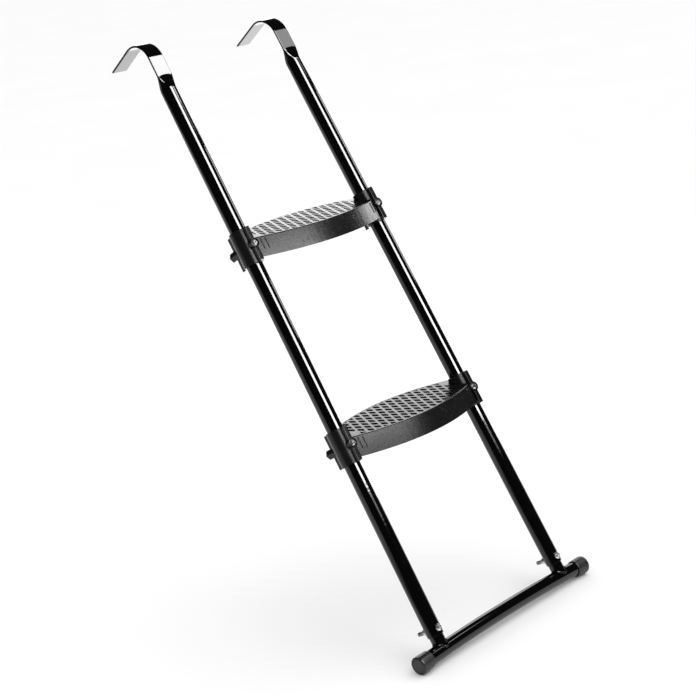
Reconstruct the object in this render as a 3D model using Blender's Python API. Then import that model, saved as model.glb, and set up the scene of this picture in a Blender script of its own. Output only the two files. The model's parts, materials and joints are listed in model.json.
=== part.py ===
"""A two-step hook-on ladder: two jointed tube rails with flat hooks, two moulded steps and an arched foot tube.

The ladder is drawn in its own frame (X across, Y to the rear, Z along the rails, zero at the foot tube) and
then leaned back, so that its treads lie level and its end caps stand on Z = 0.
"""

import math

import bmesh
import bpy
from mathutils import Matrix, Vector

# Attitude and overall layout
LEAN = math.radians(28.0)
FOOT_SPREAD = 0.2802
RAIL_SPLAY = 0.012
FOOT_BOLT_SET = 0.0093
LOWER_STEP_RISE = 0.3206
STEP_PITCH = 0.3212
STRAP_RISE = 0.3140
TAPER_START = 0.2610
TAPER_LENGTH = 0.0250

# Rail tube
TUBE_OD = 0.0250
TUBE_WALL = 0.0015
RAIL_FOOT_GAP = 0.0110
JOINT_DROP = 0.0150
SWAGE_LENGTH = 0.0400

# Hook strap, the flattened top of each upper rail
STRAP_WIDTH = 0.0280
STRAP_THICKNESS = 0.0032
STRAP_FORWARD = 0.0060
HOOK_RADIUS = 0.0330
HOOK_TURN = math.radians(98.0)
HOOK_LENGTH = 0.0520

# Foot tube, its spigots and its end caps
FOOT_OD = 0.0220
FOOT_WALL = 0.0015
FOOT_OVERHANG = 0.0504
FOOT_ARCH = 0.0045
SPIGOT_WALL = 0.0020
SPIGOT_PAST_BOLT = 0.0286
CAP_WALL = 0.0022
CAP_LIP_WALL = 0.0012
CAP_LENGTH = 0.0240
CAP_END_WALL = 0.0040
CAP_ROUND = 0.0020

# Moulded step
TREAD_END_DEPTH = 0.0195
TREAD_FRONT_BOW = 0.0235
TREAD_REAR_BOW = 0.0255
TREAD_RISE = 0.0178
TREAD_THICKNESS = 0.0050
TREAD_EDGE_ROUND = 0.0012
SKIRT_HEIGHT = 0.0310
SKIRT_WALL = 0.0026
SKIRT_END_INSET = 0.0060
RIB_THICKNESS = 0.0022
RIB_DROP = 0.0100
CROSS_RIBS = 5
DIAMOND_PITCH = 0.0145
DIAMOND_ROW = 0.0112
DIAMOND_SHARE = 0.66
DIAMOND_DEPTH = 0.0022
DIAMOND_MARGIN = 0.0034
DIAMOND_LEAST = 0.35
DOUBLE_GAP = 0.0002

# Sleeve of a step round a rail
SLEEVE_WALL = 0.0027
SLEEVE_HALF = 0.0270
BLADE_WIDTH = 0.0080
BLADE_SHORT = 0.0004
FRONT_BLADE_PROUD = 0.0067
REAR_BLADE_PROUD = 0.0100
COLLAR_WALL = 0.0018
COLLAR_PROUD = 0.0016
NUT_BOSS_WALL = 0.0015
NUT_BOSS_PROUD = 0.0095
NUT_SINK = 0.0015

# Fasteners
BOLT_OD = 0.0060
HEAD_OD = 0.0108
HEAD_HEIGHT = 0.0033
SOCKET_FLATS = 0.0040
SOCKET_DEPTH = 0.0018
NUT_FLATS = 0.0100
NUT_HEIGHT = 0.0050
FOOT_BOLT_TAIL = 0.0142
STEP_BOLT_SHORT = 0.0020

# Clearances
TOUCH_GAP = 0.0003
SLEEVE_CLEARANCE = 0.0003
JOINT_CLEARANCE = 0.0003
HOLE_CLEARANCE = 0.0003

# Fineness of round shapes
ROUND_STEPS = 24
SMALL_STEPS = 16
BEND_STEPS = 10
ARCH_STEPS = 12
CURVE_STEPS = 18

# Sizes that follow from the ones above
FOOT_LENGTH = FOOT_SPREAD + 2 * FOOT_OVERHANG
UPPER_STEP_RISE = LOWER_STEP_RISE + STEP_PITCH
TUBE_RADIUS = TUBE_OD / 2
BORE_RADIUS = TUBE_RADIUS - TUBE_WALL
SWAGE_RADIUS = BORE_RADIUS - JOINT_CLEARANCE
JOINT_RISE = UPPER_STEP_RISE - JOINT_DROP
HOLE_RADIUS = BOLT_OD / 2 + HOLE_CLEARANCE
RAIL_FACE = TUBE_RADIUS + TOUCH_GAP
CAP_BORE = FOOT_OD / 2 + TOUCH_GAP
CAP_RADIUS = CAP_BORE + CAP_WALL
SLEEVE_BORE = TUBE_RADIUS + SLEEVE_CLEARANCE
SLEEVE_RADIUS = SLEEVE_BORE + SLEEVE_WALL
SLEEVE_FRONT = SLEEVE_RADIUS + FRONT_BLADE_PROUD
SLEEVE_REAR = SLEEVE_RADIUS + REAR_BLADE_PROUD
HEAD_RECESS = HEAD_OD / 2 + HOLE_CLEARANCE
NUT_POCKET = NUT_FLATS + 2 * HOLE_CLEARANCE
NUT_BOSS_REACH = SLEEVE_REAR + NUT_BOSS_PROUD
CUT_REACH = 0.05 + 2 * TUBE_OD


def clear_scene():
    for thing in list(bpy.data.objects):
        bpy.data.objects.remove(thing, do_unlink=True)


def make_material(name, colour, metallic, roughness):
    material = bpy.data.materials.new(name)
    material.use_nodes = True
    shader = material.node_tree.nodes["Principled BSDF"]
    shader.inputs["Base Color"].default_value = (*colour, 1.0)
    shader.inputs["Metallic"].default_value = metallic
    shader.inputs["Roughness"].default_value = roughness
    material.diffuse_color = (*colour, 1.0)
    return material


def side_sign(side):
    return -1.0 if side == "left" else 1.0


def foot_height(x):
    """Height of the arched foot tube's centre line, zero at the tube's two ends."""
    share = x / (FOOT_LENGTH / 2)
    return FOOT_ARCH * (1.0 - share * share)


def rail_foot():
    """Height at which the rail's open end stops above the foot tube."""
    return foot_height(FOOT_SPREAD / 2) + FOOT_OD / 2 + RAIL_FOOT_GAP


def foot_bolt_rise():
    return rail_foot() + FOOT_BOLT_SET


def rail_offset(rise):
    """Half the distance between the two rails' axes at this height along the ladder."""
    return FOOT_SPREAD / 2 - RAIL_SPLAY * rise


def rail_frame(side):
    """Frame of one rail: its Z runs up the rail's axis and its Y points to the rear."""
    sign = side_sign(side)
    turn = Matrix.Rotation(-sign * math.atan(RAIL_SPLAY), 4, "Y")
    return Matrix.Translation((sign * FOOT_SPREAD / 2, 0.0, 0.0)) @ turn


def stand():
    """Leans the ladder's frame back and lifts it, so that the end caps touch the ground."""
    return Matrix.Translation((0.0, 0.0, CAP_RADIUS)) @ Matrix.Rotation(-LEAN, 4, "X")


def ring_mesh(loops, closed_loop=False):
    """A skin over a row of equally long loops, capped at both ends or joined end to start."""
    mesh = bmesh.new()
    rows = [[mesh.verts.new(point) for point in loop] for loop in loops]
    pairs = list(zip(rows[:-1], rows[1:]))
    if closed_loop:
        pairs.append((rows[-1], rows[0]))
    for low, high in pairs:
        count = len(low)
        for index in range(count):
            after = (index + 1) % count
            mesh.faces.new((low[index], low[after], high[after], high[index]))
    if not closed_loop:
        mesh.faces.new(list(reversed(rows[0])))
        mesh.faces.new(rows[-1])
    bmesh.ops.recalc_face_normals(mesh, faces=mesh.faces)
    return mesh


def circle(radius, z, steps=ROUND_STEPS, turn=0.0):
    angles = [turn + 2 * math.pi * index / steps for index in range(steps)]
    return [Vector((radius * math.cos(a), radius * math.sin(a), z)) for a in angles]


def revolve(profile, steps=ROUND_STEPS, closed_loop=False, turn=0.0):
    """A solid turned about Z from (radius, height) points."""
    loops = [circle(radius, height, steps, turn) for radius, height in profile]
    return ring_mesh(loops, closed_loop)


def hexagon(flats, z):
    return circle(flats / math.sqrt(3.0), z, 6, math.pi / 6)


def box(low, high):
    corners = [(low[0], low[1]), (high[0], low[1]), (high[0], high[1]), (low[0], high[1])]
    loops = [[Vector((x, y, z)) for x, y in corners] for z in (low[2], high[2])]
    return ring_mesh(loops)


def fore_aft(rise, forward=0.0):
    """Turns a shape drawn along Z to run from front to rear, centred on the rail at this height."""
    return Matrix.Translation((0.0, forward, rise)) @ Matrix.Rotation(math.radians(-90), 4, "X")


def add_object(name, mesh, frame, material=None, angle=35.0):
    """Turns a bmesh drawn in a frame of the ladder into a scene object with smooth round faces."""
    mesh.transform(frame)
    data = bpy.data.meshes.new(name)
    mesh.to_mesh(data)
    mesh.free()
    made = bpy.data.objects.new(name, data)
    bpy.context.scene.collection.objects.link(made)
    made.matrix_world = stand()
    if material:
        data.materials.append(material)
    data.shade_smooth()
    data.set_sharp_from_angle(angle=math.radians(angle))
    return made


def use_tool(target, mesh, frame, name, operation):
    """Joins a tool shape to the target or cuts it out, and hides the tool."""
    tool = add_object(name, mesh, frame)
    tool.hide_render = True
    tool.display_type = "WIRE"
    step = target.modifiers.new(name, "BOOLEAN")
    step.operation = operation
    step.solver = "EXACT"
    step.object = tool


def cut(target, mesh, frame, name):
    use_tool(target, mesh, frame, name, "DIFFERENCE")


def join(target, mesh, frame, name):
    use_tool(target, mesh, frame, name, "UNION")


def hole_mesh(radius, low, high):
    """A round cutter along Z, with no corner on the planes of its own axes."""
    return revolve([(radius, low), (radius, high)], SMALL_STEPS, turn=math.pi / SMALL_STEPS)


def cut_bolt_hole(target, side, rise, name):
    hole = hole_mesh(HOLE_RADIUS, -CUT_REACH, CUT_REACH)
    cut(target, hole, rail_frame(side) @ fore_aft(rise), name)


# ---- Rails ----


def section(half_width, half_depth, flat):
    """A loop round a tube that is round at flat = 0 and a thin rounded strap at flat = 1."""
    points = []
    for index in range(ROUND_STEPS):
        angle = 2 * math.pi * index / ROUND_STEPS
        quarter = math.pi / 4
        straight = half_width - half_depth
        if angle <= quarter or angle >= 7 * quarter:
            lean = 2 * (angle if angle <= quarter else angle - 8 * quarter)
            thin = (straight + half_depth * math.cos(lean), half_depth * math.sin(lean))
        elif angle < 3 * quarter:
            thin = (straight * (1 - (angle - quarter) / quarter), half_depth)
        elif angle <= 5 * quarter:
            lean = math.pi + 2 * (angle - 4 * quarter)
            thin = (half_depth * math.cos(lean) - straight, half_depth * math.sin(lean))
        else:
            thin = (straight * ((angle - 5 * quarter) / quarter - 1), -half_depth)
        points.append((angle, thin))
    return [(angle, Vector(thin), flat) for angle, thin in points]


def blended(radius, half_width, half_depth, flat):
    """The section's points, part way from the round tube to the strap."""
    loop = []
    for angle, thin, share in section(half_width, half_depth, flat):
        full = Vector((radius * math.cos(angle), radius * math.sin(angle)))
        loop.append(full.lerp(thin, share))
    return loop


def placed(loop, forward, rise, turn=0.0):
    """Puts a flat loop across the rail, turned about X as the hook bends."""
    across = Vector((1.0, 0.0, 0.0))
    along = Vector((0.0, math.cos(turn), math.sin(turn)))
    centre = Vector((0.0, forward, rise))
    return [centre + across * point.x + along * point.y for point in loop]


def ease(share):
    return share * share * (3 - 2 * share)


def hook_path():
    """Centre points of the strap above the taper, as (forward, rise, turn)."""
    start = UPPER_STEP_RISE + STRAP_RISE
    path = []
    for index in range(BEND_STEPS + 1):
        turn = HOOK_TURN * index / BEND_STEPS
        forward = -STRAP_FORWARD + HOOK_RADIUS * (1 - math.cos(turn))
        path.append((forward, start + HOOK_RADIUS * math.sin(turn), -turn))
    forward, rise, turn = path[-1]
    ahead = Vector((math.sin(-turn), math.cos(turn)))
    path.append((forward + HOOK_LENGTH * ahead.x, rise + HOOK_LENGTH * ahead.y, turn))
    return path


def upper_rail_mesh():
    start = UPPER_STEP_RISE + TAPER_START
    half = (STRAP_WIDTH / 2, STRAP_THICKNESS / 2)
    inner = (half[0] - TUBE_WALL, half[1] / 4)
    outer = [placed(blended(TUBE_RADIUS, *half, 0.0), 0.0, JOINT_RISE)]
    hollow = [placed(blended(BORE_RADIUS, *inner, 0.0), 0.0, JOINT_RISE)]
    for index in range(7):
        share = index / 6
        flat = ease(share)
        rise = start + TAPER_LENGTH * share
        outer.append(placed(blended(TUBE_RADIUS, *half, flat), -STRAP_FORWARD * flat, rise))
        if index < 6:
            flat = ease(min(1.0, share * 1.1))
            hollow.append(placed(blended(BORE_RADIUS, *inner, flat), -STRAP_FORWARD * flat, rise))
    for forward, rise, turn in hook_path():
        outer.append(placed(blended(TUBE_RADIUS, *half, 1.0), forward, rise, turn))
    return ring_mesh(list(reversed(outer)) + hollow)


def build_upper_rail(side, paint):
    name = f"upper_rail_{side}"
    rail = add_object(name, upper_rail_mesh(), rail_frame(side), paint)
    cut_bolt_hole(rail, side, UPPER_STEP_RISE, f"{name}_bolt_hole")


def build_lower_rail(side, paint):
    name = f"lower_rail_{side}"
    foot = rail_foot()
    shoulder = JOINT_RISE - TOUCH_GAP
    top = JOINT_RISE + SWAGE_LENGTH
    throat = SWAGE_RADIUS - TUBE_WALL
    profile = [
        (TUBE_RADIUS, foot),
        (TUBE_RADIUS, shoulder),
        (SWAGE_RADIUS, shoulder),
        (SWAGE_RADIUS, top),
        (throat, top),
        (throat, shoulder - TUBE_WALL),
        (BORE_RADIUS, shoulder - 2 * TUBE_WALL),
        (BORE_RADIUS, foot),
    ]
    rail = add_object(name, revolve(profile, closed_loop=True), rail_frame(side), paint)
    cut_bolt_hole(rail, side, foot_bolt_rise(), f"{name}_foot_hole")
    cut_bolt_hole(rail, side, LOWER_STEP_RISE, f"{name}_lower_hole")
    cut_bolt_hole(rail, side, UPPER_STEP_RISE, f"{name}_upper_hole")


# ---- Foot ----


def arch_frame(x):
    """Frame on the foot tube's centre line, with its Z running along the tube to the right."""
    slope = -2 * FOOT_ARCH * x / (FOOT_LENGTH / 2) ** 2
    turn = Matrix.Rotation(math.radians(90) - math.atan(slope), 4, "Y")
    return Matrix.Translation((x, 0.0, foot_height(x))) @ turn


def arched_loops(radius, length):
    loops = []
    for index in range(ARCH_STEPS + 1):
        x = length * (index / ARCH_STEPS - 0.5)
        loops.append([arch_frame(x) @ point for point in circle(radius, 0.0)])
    return loops


def build_foot_tube(paint):
    outside = arched_loops(FOOT_OD / 2, FOOT_LENGTH)
    inside = arched_loops(FOOT_OD / 2 - FOOT_WALL, FOOT_LENGTH)
    mesh = ring_mesh(outside + list(reversed(inside)), closed_loop=True)
    add_object("foot_tube", mesh, Matrix.Identity(4), paint)


def build_foot_spigot(side, paint):
    """The stub that is welded to the foot tube and slides up into the rail."""
    name = f"foot_spigot_{side}"
    centre = foot_height(FOOT_SPREAD / 2)
    top = foot_bolt_rise() + SPIGOT_PAST_BOLT
    throat = SWAGE_RADIUS - SPIGOT_WALL
    profile = [(SWAGE_RADIUS, centre), (SWAGE_RADIUS, top), (throat, top), (throat, centre)]
    spigot = add_object(name, revolve(profile, closed_loop=True), rail_frame(side), paint)
    saddle = arched_loops(FOOT_OD / 2 + TOUCH_GAP, FOOT_LENGTH)
    cut(spigot, ring_mesh(saddle), Matrix.Identity(4), f"{name}_saddle")
    cut_bolt_hole(spigot, side, foot_bolt_rise(), f"{name}_hole")


def build_end_cap(side, plastic):
    """A flared cup pushed over the end of the foot tube."""
    sign = side_sign(side)
    frame = arch_frame(sign * FOOT_LENGTH / 2)
    if sign < 0:
        frame = frame @ Matrix.Rotation(math.pi, 4, "Y")
    end = CAP_END_WALL + TOUCH_GAP
    lip = end - CAP_LENGTH
    profile = [
        (CAP_BORE, TOUCH_GAP),
        (CAP_BORE, lip),
        (CAP_BORE + CAP_LIP_WALL, lip),
        (CAP_RADIUS, end - CAP_LENGTH * 0.35),
        (CAP_RADIUS, end - CAP_ROUND),
        (CAP_RADIUS - CAP_ROUND * 0.29, end - CAP_ROUND * 0.29),
        (CAP_RADIUS - CAP_ROUND, end),
    ]
    mesh = revolve(profile)
    add_object(f"end_cap_{side}", mesh, frame, plastic)


# ---- Steps ----


def tread_edge(share, end_depth, bow):
    return end_depth + bow * (1.0 - share * share)


def lens_outline(half_length, inset, end_trim=0.0):
    """Corners of the tread seen along the rails, front edge first, drawn inwards by the inset."""
    reach = half_length - end_trim
    corners = []
    for index in range(CURVE_STEPS + 1):
        x = reach * (2 * index / CURVE_STEPS - 1)
        depth = tread_edge(x / half_length, TREAD_END_DEPTH, TREAD_FRONT_BOW)
        corners.append((x, inset - depth))
    for index in range(CURVE_STEPS + 1):
        x = reach * (1 - 2 * index / CURVE_STEPS)
        depth = tread_edge(x / half_length, TREAD_END_DEPTH, TREAD_REAR_BOW)
        corners.append((x, depth - inset))
    return corners


def tread_loop(corners, rise):
    """Lays an outline on the tread's plane, which falls towards the front as seen along the rails."""
    slope = math.tan(LEAN)
    return [Vector((x, y, rise + y * slope)) for x, y in corners]


def step_body_mesh(half_length, rise):
    """The tread and its skirt: an upturned tray with a rounded top edge."""
    top = rise + TREAD_RISE
    soft = TREAD_EDGE_ROUND
    hollow_trim = SLEEVE_RADIUS + SKIRT_END_INSET
    bottom = top - SKIRT_HEIGHT
    loops = [
        tread_loop(lens_outline(half_length, SKIRT_WALL, hollow_trim), top - TREAD_THICKNESS),
        tread_loop(lens_outline(half_length, SKIRT_WALL, hollow_trim), bottom),
        tread_loop(lens_outline(half_length, 0.0), bottom),
        tread_loop(lens_outline(half_length, 0.0), top - soft),
        tread_loop(lens_outline(half_length, soft * 0.3), top - soft * 0.3),
        tread_loop(lens_outline(half_length, soft), top),
    ]
    return ring_mesh(loops)


def clip_to(polygon, outline):
    """The part of a polygon inside a convex outline that runs anticlockwise."""
    kept = polygon
    for start, end in zip(outline, outline[1:] + outline[:1]):
        edge = Vector(end) - Vector(start)
        if edge.length < 1e-9:
            continue
        source = kept
        kept = []
        for here, after in zip(source, source[1:] + source[:1]):
            near = edge.cross(Vector(here) - Vector(start))
            far = edge.cross(Vector(after) - Vector(start))
            if near >= 0:
                kept.append(here)
            if (near >= 0) != (far >= 0):
                point = Vector(here).lerp(Vector(after), near / (near - far))
                kept.append((point.x, point.y))
        if len(kept) < 3:
            return []
    return kept


def without_doubles(polygon):
    """Drops a corner that all but touches the one before it."""
    pairs = zip(polygon, polygon[-1:] + polygon[:-1])
    return [here for here, before in pairs if (Vector(here) - Vector(before)).length > DOUBLE_GAP]


def area_of(polygon):
    pairs = zip(polygon, polygon[1:] + polygon[:1])
    return 0.5 * sum(a[0] * b[1] - b[0] * a[1] for a, b in pairs)


def diamond_mesh(half_length, rise):
    """Shallow diamond pockets in staggered rows, kept clear of the tread's edge."""
    wide = DIAMOND_PITCH / 2 * DIAMOND_SHARE
    deep = DIAMOND_ROW * DIAMOND_SHARE
    trim = SLEEVE_RADIUS + TOUCH_GAP
    outline = lens_outline(half_length, DIAMOND_MARGIN, trim)
    whole = 2 * wide * deep
    top = rise + TREAD_RISE
    mesh = bmesh.new()
    rows = int((TREAD_END_DEPTH + TREAD_REAR_BOW) / DIAMOND_ROW) + 1
    columns = int(half_length / DIAMOND_PITCH) + 1
    for row in range(-rows, rows + 1):
        for column in range(-columns, columns + 1):
            x = (column + 0.5 * ((row + 1) % 2)) * DIAMOND_PITCH
            y = row * DIAMOND_ROW
            diamond = [(x + wide, y), (x, y + deep), (x - wide, y), (x, y - deep)]
            shape = without_doubles(clip_to(diamond, outline))
            if len(shape) < 3 or area_of(shape) < DIAMOND_LEAST * whole:
                continue
            low = [mesh.verts.new(p) for p in tread_loop(shape, top - DIAMOND_DEPTH)]
            high = [mesh.verts.new(p) for p in tread_loop(shape, top + DIAMOND_DEPTH)]
            mesh.faces.new(list(reversed(low)))
            mesh.faces.new(high)
            for index in range(len(shape)):
                after = (index + 1) % len(shape)
                mesh.faces.new((low[index], low[after], high[after], high[index]))
    return mesh


def rib_mesh(low, high, rise, drop):
    """An upright rib below the tread, between two plan corners."""
    corners = [(low[0], low[1]), (high[0], low[1]), (high[0], high[1]), (low[0], high[1])]
    top = rise + TREAD_RISE - TREAD_THICKNESS * 0.7
    return ring_mesh([tread_loop(corners, top - drop), tread_loop(corners, top)])


def add_tread_ribs(step, name, half_length, rise):
    thick = RIB_THICKNESS / 2
    reach = half_length - SLEEVE_RADIUS - SKIRT_END_INSET / 2
    spine = rib_mesh((-reach, -thick), (reach, thick), rise, RIB_DROP * 0.8)
    join(step, spine, Matrix.Identity(4), f"{name}_spine")
    for index in range(CROSS_RIBS):
        x = reach * (2 * (index + 1) / (CROSS_RIBS + 1) - 1)
        share = x / half_length
        front = tread_edge(share, TREAD_END_DEPTH, TREAD_FRONT_BOW) - SKIRT_WALL / 2
        rear = tread_edge(share, TREAD_END_DEPTH, TREAD_REAR_BOW) - SKIRT_WALL / 2
        rib = rib_mesh((x - thick, -front), (x + thick, rear), rise, RIB_DROP)
        join(step, rib, Matrix.Identity(4), f"{name}_rib_{index + 1}")


def add_sleeve(step, name, side, rise):
    """The sleeve round one rail with its front and rear ribs, its collar and its nut boss."""
    frame = rail_frame(side)
    low = rise - SLEEVE_HALF
    high = rise + SLEEVE_HALF
    barrel = revolve([(SLEEVE_RADIUS, low), (SLEEVE_RADIUS, high)])
    join(step, barrel, frame, f"{name}_barrel_{side}")
    half = BLADE_WIDTH / 2
    blade = box((-half, -SLEEVE_FRONT, low + BLADE_SHORT), (half, SLEEVE_REAR, high - BLADE_SHORT))
    join(step, blade, frame, f"{name}_blade_{side}")
    collar_end = -SLEEVE_FRONT - COLLAR_PROUD
    collar_radius = HEAD_RECESS + COLLAR_WALL
    collar = revolve([(collar_radius, collar_end), (collar_radius, 0.0)], SMALL_STEPS)
    join(step, collar, frame @ fore_aft(rise), f"{name}_collar_{side}")
    boss_flats = NUT_POCKET + 2 * NUT_BOSS_WALL
    boss = ring_mesh([hexagon(boss_flats, 0.0), hexagon(boss_flats, NUT_BOSS_REACH)])
    join(step, boss, frame @ fore_aft(rise), f"{name}_boss_{side}")


def cut_sleeve(step, name, side, rise):
    """Opens the sleeve for its rail, the bolt, the bolt's head and the nut."""
    frame = rail_frame(side)
    reach = SLEEVE_HALF + SLEEVE_RADIUS
    bore = revolve([(SLEEVE_BORE, rise - reach), (SLEEVE_BORE, rise + reach)])
    cut(step, bore, frame, f"{name}_bore_{side}")
    cut_bolt_hole(step, side, rise, f"{name}_hole_{side}")
    recess = hole_mesh(HEAD_RECESS, -CUT_REACH, step_head_seat())
    cut(step, recess, frame @ fore_aft(rise), f"{name}_recess_{side}")
    pocket_floor = step_nut_seat() - TOUCH_GAP
    pocket = ring_mesh([hexagon(NUT_POCKET, pocket_floor), hexagon(NUT_POCKET, CUT_REACH)])
    cut(step, pocket, frame @ fore_aft(rise), f"{name}_pocket_{side}")


def step_head_seat():
    """Where the underside of a step bolt's head sits, in front of the rail's axis."""
    return -SLEEVE_FRONT - COLLAR_PROUD + HEAD_HEIGHT - TOUCH_GAP


def step_nut_seat():
    """Where the front face of a step bolt's nut sits, behind the rail's axis."""
    return NUT_BOSS_REACH - NUT_HEIGHT - NUT_SINK


def build_step(name, rise, plastic):
    half_length = rail_offset(rise) - SKIRT_END_INSET
    step = add_object(name, step_body_mesh(half_length, rise), Matrix.Identity(4), plastic)
    add_tread_ribs(step, name, half_length, rise)
    for side in ("left", "right"):
        add_sleeve(step, name, side, rise)
    for side in ("left", "right"):
        cut_sleeve(step, name, side, rise)
    cut(step, diamond_mesh(half_length, rise), Matrix.Identity(4), f"{name}_diamonds")


# ---- Fasteners ----


def bolt_mesh(seat, end):
    """A button-head bolt along Z, with its head below the seat and a hexagon socket."""
    radius = BOLT_OD / 2
    head = HEAD_OD / 2
    top = seat - HEAD_HEIGHT
    profile = [
        (head * 0.62, top),
        (head * 0.86, top + HEAD_HEIGHT * 0.30),
        (head * 0.97, top + HEAD_HEIGHT * 0.62),
        (head, seat - 0.0004),
        (head, seat),
        (radius, seat),
        (radius, end - 0.0008),
        (radius - 0.0006, end),
    ]
    return revolve(profile, SMALL_STEPS)


def build_bolt(name, side, rise, seat, end, zinc):
    frame = rail_frame(side) @ fore_aft(rise)
    bolt = add_object(name, bolt_mesh(seat, end), frame, zinc)
    top = seat - HEAD_HEIGHT
    loops = [hexagon(SOCKET_FLATS, top - 0.001), hexagon(SOCKET_FLATS, top + SOCKET_DEPTH)]
    cut(bolt, ring_mesh(loops), frame, f"{name}_socket")


def build_nut(name, side, rise, seat, zinc):
    """A plain hexagon nut with a clear hole for its bolt."""
    frame = rail_frame(side) @ fore_aft(rise)
    end = seat + NUT_HEIGHT
    body = ring_mesh([hexagon(NUT_FLATS, seat), hexagon(NUT_FLATS, end)])
    nut = add_object(name, body, frame, zinc)
    hole = hole_mesh(HOLE_RADIUS, seat - 0.002, end + 0.002)
    cut(nut, hole, frame, f"{name}_hole")


def build_fasteners(zinc):
    foot_rise = foot_bolt_rise()
    foot_end = RAIL_FACE + NUT_HEIGHT + FOOT_BOLT_TAIL
    step_end = NUT_BOSS_REACH - STEP_BOLT_SHORT
    for side in ("left", "right"):
        build_bolt(f"foot_bolt_{side}", side, foot_rise, -RAIL_FACE, foot_end, zinc)
        build_nut(f"foot_nut_{side}", side, foot_rise, RAIL_FACE, zinc)
        for step, rise in (("upper", UPPER_STEP_RISE), ("lower", LOWER_STEP_RISE)):
            name = f"{step}_step_bolt_{side}"
            build_bolt(name, side, rise, step_head_seat() - TOUCH_GAP, step_end, zinc)
            build_nut(f"{step}_step_nut_{side}", side, rise, step_nut_seat(), zinc)


def main():
    clear_scene()
    paint = make_material("gloss_black_paint", (0.012, 0.012, 0.013), 0.0, 0.16)
    plastic = make_material("black_step_plastic", (0.045, 0.045, 0.047), 0.0, 0.42)
    cap_plastic = make_material("black_cap_plastic", (0.035, 0.035, 0.036), 0.0, 0.48)
    zinc = make_material("bright_zinc", (0.78, 0.79, 0.80), 1.0, 0.22)
    for side in ("left", "right"):
        build_upper_rail(side, paint)
        build_lower_rail(side, paint)
        build_foot_spigot(side, paint)
        build_end_cap(side, cap_plastic)
    build_foot_tube(paint)
    build_step("upper_step", UPPER_STEP_RISE, plastic)
    build_step("lower_step", LOWER_STEP_RISE, plastic)
    build_fasteners(zinc)


main()
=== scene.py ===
"""Finishes a hook-on ladder: gloss-painted tube rails with flattened hooks, moulded lattice steps and bright bolts.

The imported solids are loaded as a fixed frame. Each operator makes one finished piece, or one group of like
pieces, in the place of its plain solids, and the last one sets the stage.
"""

import json
import math

import bmesh
import bpy
from bpy.props import FloatProperty, FloatVectorProperty, IntProperty, PointerProperty
from bpy.types import Operator, Panel, PropertyGroup
from mathutils import Matrix, Vector

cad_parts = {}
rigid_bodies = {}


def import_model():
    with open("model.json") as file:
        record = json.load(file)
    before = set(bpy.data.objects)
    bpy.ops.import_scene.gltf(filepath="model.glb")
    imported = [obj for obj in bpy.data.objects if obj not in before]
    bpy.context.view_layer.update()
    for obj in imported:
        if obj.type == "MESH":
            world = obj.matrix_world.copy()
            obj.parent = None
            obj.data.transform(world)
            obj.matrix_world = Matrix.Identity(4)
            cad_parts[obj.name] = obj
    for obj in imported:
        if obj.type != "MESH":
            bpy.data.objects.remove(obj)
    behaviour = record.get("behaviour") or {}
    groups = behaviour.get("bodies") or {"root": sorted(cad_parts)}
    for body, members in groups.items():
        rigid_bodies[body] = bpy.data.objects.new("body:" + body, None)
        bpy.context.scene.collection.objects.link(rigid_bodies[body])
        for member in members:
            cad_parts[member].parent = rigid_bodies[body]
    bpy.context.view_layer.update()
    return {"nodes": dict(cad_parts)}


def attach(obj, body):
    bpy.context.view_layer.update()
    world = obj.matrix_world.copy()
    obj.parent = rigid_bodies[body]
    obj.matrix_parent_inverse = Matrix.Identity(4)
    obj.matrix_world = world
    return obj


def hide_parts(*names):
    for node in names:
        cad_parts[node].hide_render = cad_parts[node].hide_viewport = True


bl_info = {
    "name": "Hook-on Ladder",
    "version": (1, 0, 0),
    "blender": (4, 5, 0),
    "location": "View3D > Sidebar > Ladder",
    "description": "Builds the finished pieces of a hook-on ladder around its packed solids",
    "category": "Object",
}

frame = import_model()

SIDES = ("left", "right")
STEPS = ("upper", "lower")
IDENTITY = Matrix.Identity(4)
FORE_AFT = Matrix.Rotation(math.radians(-90), 4, "X")
RIB_SOFT = 0.0003
BLADE_SOFT = 0.0009
SKIRT_RIB_SHARE = 0.62


# ---- Settings ----


def length(label, description, default):
    return FloatProperty(
        name=label, description=description, default=default, min=0.0, precision=5, unit="LENGTH"
    )


def angle(label, description, degrees):
    return FloatProperty(
        name=label, description=description, default=math.radians(degrees), precision=3, subtype="ANGLE"
    )


def tint(label, description, default):
    return FloatVectorProperty(
        name=label, description=description, default=default, size=3, min=0.0, max=1.0, subtype="COLOR"
    )


class LadderLayout(PropertyGroup):
    lean: angle("Lean", "How far the rails lean back from upright", 28.0)
    touch: length("Touch gap", "Gap between pieces that touch", 0.0003)
    round_steps: IntProperty(name="Round steps", description="Sides of a tube", default=64, min=16)


class LadderRails(PropertyGroup):
    tube: length("Tube", "Outer diameter of the rail tube", 0.025)
    wall: length("Wall", "Thickness of the tube's wall", 0.0015)
    lip: length("Lip", "Rounding of the tube's open end", 0.0004)
    strap_width: length("Strap width", "Width of the flattened strap", 0.028)
    strap: length("Strap thickness", "Thickness of the flattened strap", 0.0032)
    forward: length("Strap forward", "How far the strap sits in front of the tube's axis", 0.006)
    taper: length("Taper", "Length over which the tube flattens", 0.025)
    straight: length("Straight strap", "Straight strap between the taper and the bend", 0.028)
    bend: length("Bend radius", "Radius of the hook's bend, to the middle of the strap", 0.033)
    turn: angle("Turn", "How far the hook bends round", 98.0)
    swage: length("Swage", "Length of the necked top of the lower rail", 0.040)


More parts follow.
